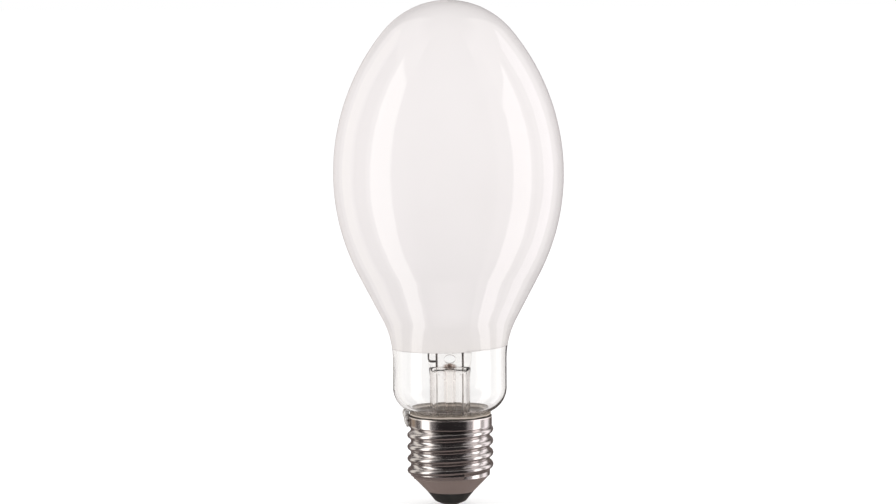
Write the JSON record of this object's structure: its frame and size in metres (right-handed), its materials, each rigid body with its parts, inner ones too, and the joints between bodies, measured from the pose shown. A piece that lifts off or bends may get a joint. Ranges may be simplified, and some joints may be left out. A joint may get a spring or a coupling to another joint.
{
  "type": "high pressure sodium lamp",
  "caption": "Coated ovoid discharge lamp with a clear neck, an inner arc tube on a wire frame, and an E27 screw cap with black insulator.",
  "frame": {"origin": "bottom centre of the solder dome on the centre contact, which is the bottom centre of the part's box", "axes": "+Z along the lamp's axis from the cap to the crown; the flat of the press faces front (-Y) and back (+Y); the side contact is on the left (-X)"},
  "size_m": [0.07, 0.07, 0.1546],
  "materials": {
    "bulb_glass": "clear hard glass, glossy",
    "diffusing_powder": "white powder layer, fully matt, seen through the glass",
    "stem_glass": "clear glass, glossy, drawn and pinched",
    "lead_wire": "nickel-plated wire, slightly oxidised",
    "frame_steel": "nickel-plated steel rod, satin",
    "alumina": "translucent sintered alumina, satin",
    "amalgam": "liquid metal bead",
    "nickel_strip": "nickel strip, satin",
    "getter_steel": "nickel-plated steel, dulled by firing",
    "niobium": "niobium, satin grey",
    "tungsten": "tungsten wire",
    "nickel_plate": "bright nickel plate on rolled brass sheet, duller on the cone",
    "black_glass": "opaque black glass, satin",
    "contact_plate": "nickel-plated brass plate",
    "solder": "soft solder, uneven satin",
    "cement": "fired grey-brown basing cement, rough"
  },
  "bodies": {
    "root": {"outer_bulb": "bulb_glass", "bulb_coating": "diffusing_powder", "stem": "stem_glass", "exhaust_tube": "stem_glass", "inner_lead_left": "lead_wire", "inner_lead_right": "lead_wire", "outer_lead_side": "lead_wire", "outer_lead_centre": "lead_wire", "frame_rod": "frame_steel", "arc_tube": "alumina", "amalgam_bead": "amalgam", "lower_strap": "nickel_strip", "upper_strap": "nickel_strip", "getter_ring": "getter_steel", "getter_wire": "lead_wire", "cap_shell": "nickel_plate", "cap_insulator": "black_glass", "centre_contact": "contact_plate", "centre_solder": "solder", "side_solder": "solder", "basing_cement": "cement", "upper_end_plug": "alumina", "upper_niobium_tube": "niobium", "upper_electrode_shank": "tungsten", "upper_electrode_coil": "tungsten", "lower_end_plug": "alumina", "lower_niobium_tube": "niobium", "lower_electrode_shank": "tungsten", "lower_electrode_coil": "tungsten"}
  },
  "joints": []
}
